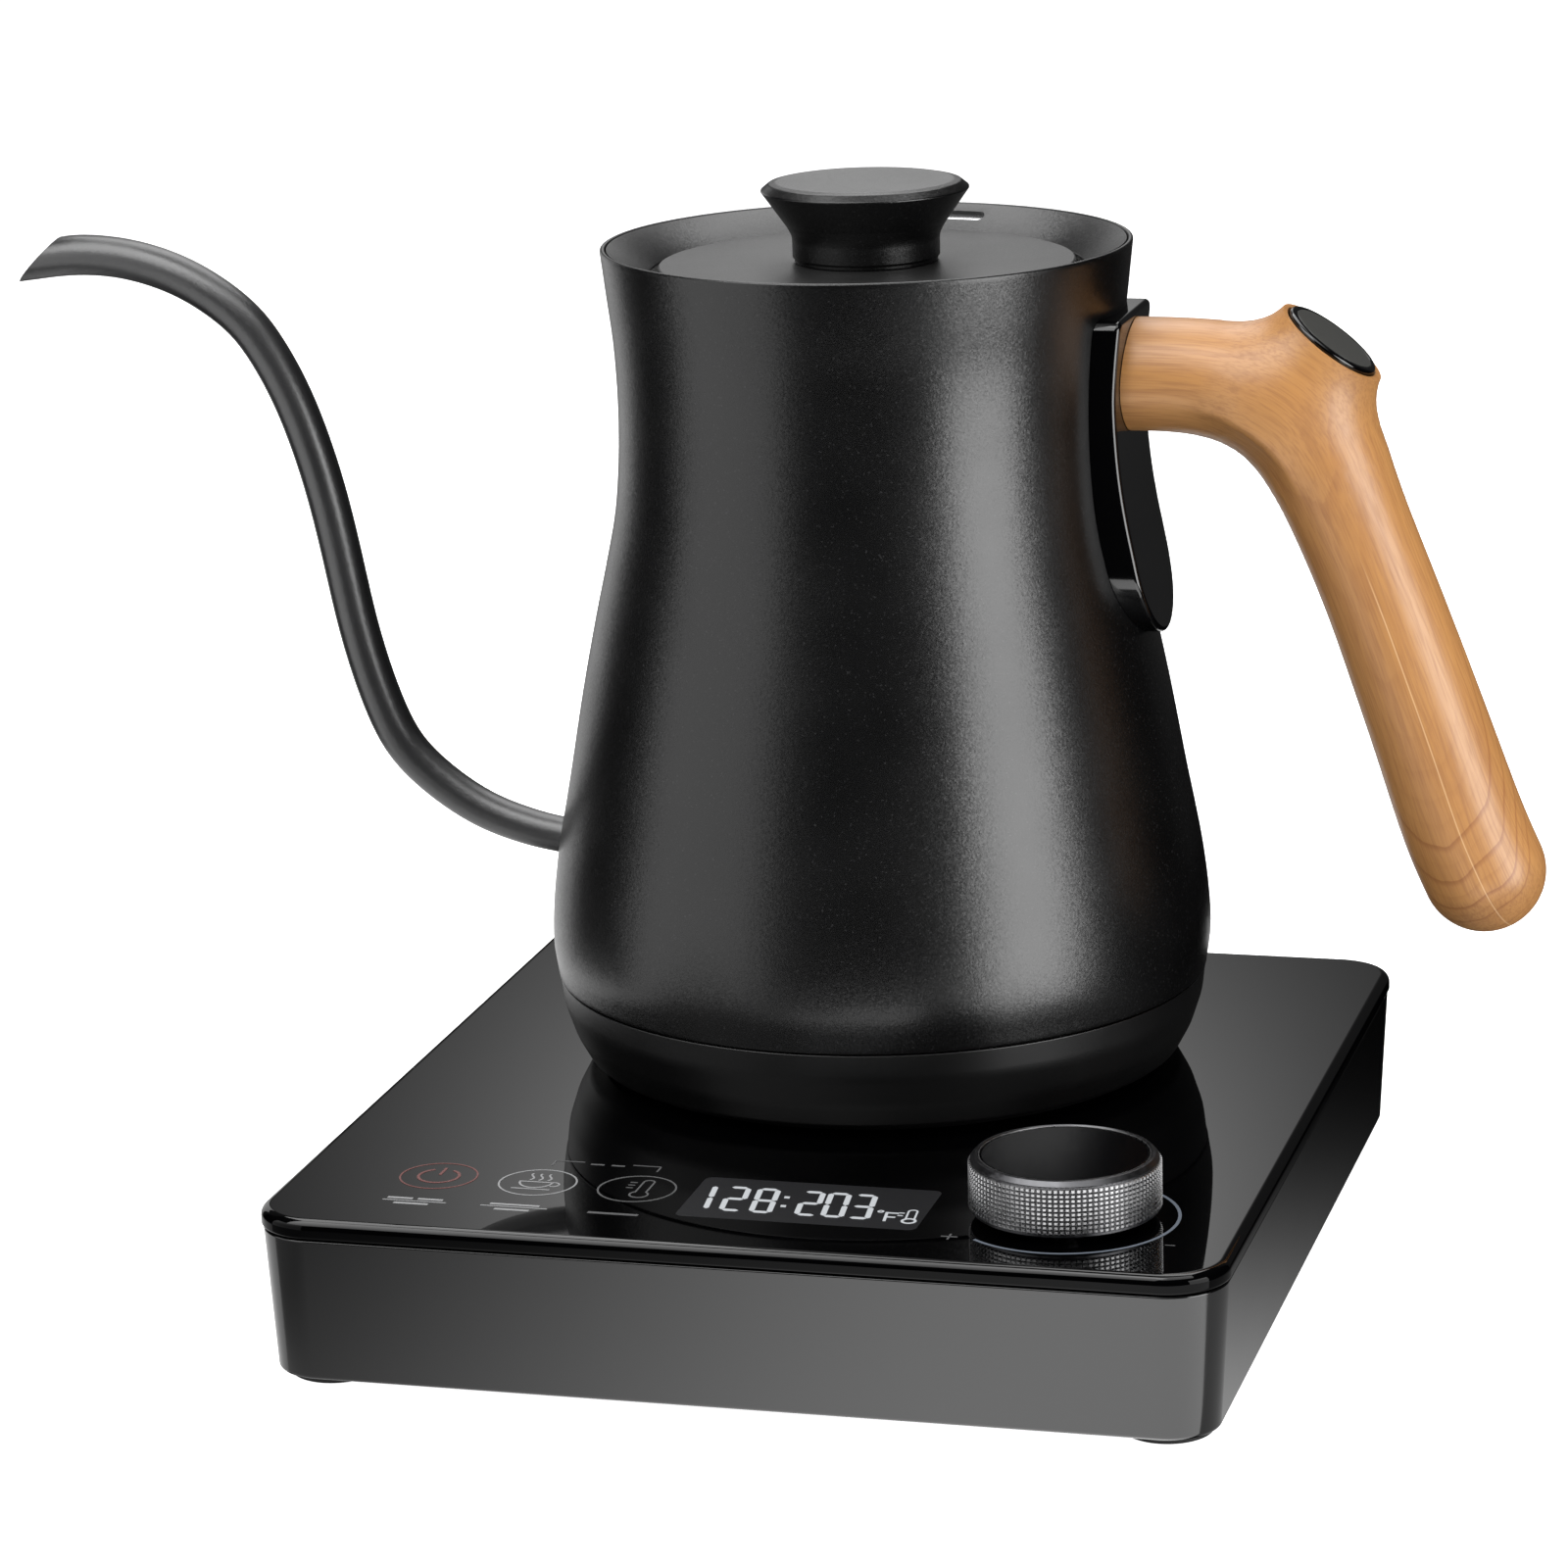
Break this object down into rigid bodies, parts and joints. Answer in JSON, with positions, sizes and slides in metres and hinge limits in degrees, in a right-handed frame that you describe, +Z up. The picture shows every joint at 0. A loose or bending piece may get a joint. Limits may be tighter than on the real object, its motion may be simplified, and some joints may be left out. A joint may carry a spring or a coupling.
{
  "type": "gooseneck electric kettle",
  "caption": "Gooseneck pour-over kettle with wooden handle and lift-off lid, seated on a powered glass-topped base with a rotary temperature knob and display.",
  "frame": {"origin": "on the floor, under the middle of the whole object", "axes": "+X towards the handle, -X towards the spout, -Y towards the control panel of the base, +Z up"},
  "size_m": [0.3045, 0.199, 0.2057],
  "materials": {
    "coated_steel": "matte black powder coat with a fine sparkle",
    "bare_steel": "brushed",
    "skirt_plastic": "satin black",
    "gloss_trim": "gloss black",
    "handle_wood": "satin varnish",
    "panel_glass": "polished black glass",
    "housing_plastic": "semi-gloss dark grey",
    "dial_metal": "knurled",
    "foot_rubber": "matte",
    "seal_silicone": "matte",
    "cast_aluminium": "as cast",
    "board_green": "solder mask",
    "nylon": "natural",
    "display_glass": "dark display window",
    "light_guide": "frosted",
    "relay_blue": "moulded"
  },
  "bodies": {
    "base": {"base_glass": "panel_glass", "base_housing": "housing_plastic", "base_bottom": "skirt_plastic", "base_foot_1": "foot_rubber", "base_foot_2": "foot_rubber", "base_foot_3": "foot_rubber", "base_foot_4": "foot_rubber", "base_screw_1": "bare_steel", "base_screw_2": "bare_steel", "base_screw_3": "bare_steel", "base_screw_4": "bare_steel", "base_connector": "skirt_plastic", "control_board": "board_green", "display_module": "display_glass", "touch_pad_power": "foot_rubber", "touch_pad_heat": "foot_rubber", "touch_pad_hold": "foot_rubber", "dial_light_ring": "light_guide", "buzzer": "skirt_plastic", "encoder_body": "bare_steel", "power_board": "board_green", "relay": "relay_blue", "transformer": "gloss_trim", "terminal_block": "skirt_plastic", "capacitor": "cast_aluminium", "cord_gland": "foot_rubber"},
    "glide": {"glide_ring": "nylon"},
    "kettle": {"kettle_shell": "coated_steel", "vessel_floor": "bare_steel", "rim_collar": "coated_steel", "spout_tube": "coated_steel", "base_skirt": "skirt_plastic", "kettle_underside": "skirt_plastic", "heater_plate": "cast_aluminium", "heater_ring": "bare_steel", "temperature_probe": "bare_steel", "thermal_cutout": "skirt_plastic", "kettle_connector": "skirt_plastic", "underside_screw_1": "bare_steel", "underside_screw_2": "bare_steel", "underside_screw_3": "bare_steel", "handle_bracket": "gloss_trim", "handle_grip": "handle_wood", "handle_cap": "gloss_trim", "handle_bolt": "bare_steel", "bracket_stud_1": "bare_steel", "bracket_stud_2": "bare_steel"},
    "lid": {"lid_plate": "coated_steel", "lid_cup": "bare_steel", "lid_seal": "seal_silicone", "lid_knob": "coated_steel", "lid_screw": "bare_steel"},
    "dial": {"dial_ring": "dial_metal", "dial_cap": "gloss_trim", "dial_core": "skirt_plastic", "encoder_shaft": "bare_steel"}
  },
  "joints": [
    {"name": "kettle_swivel", "type": "hinge", "parent": "base", "child": "glide", "pos_m": [0.02185, 0.0215, 0.033], "axis": [0, 0, 1], "continuous": true},
    {"name": "kettle_lift", "type": "slide", "parent": "glide", "child": "kettle", "axis": [0, 0, 1], "range_m": [0, 0.12]},
    {"name": "lid_lift", "type": "slide", "parent": "kettle", "child": "lid", "axis": [0, 0, 1], "range_m": [0, 0.06]},
    {"name": "dial_turn", "type": "hinge", "parent": "base", "child": "dial", "pos_m": [0.07845, -0.0709, 0.033], "axis": [0, 0, 1], "continuous": true}
  ]
}
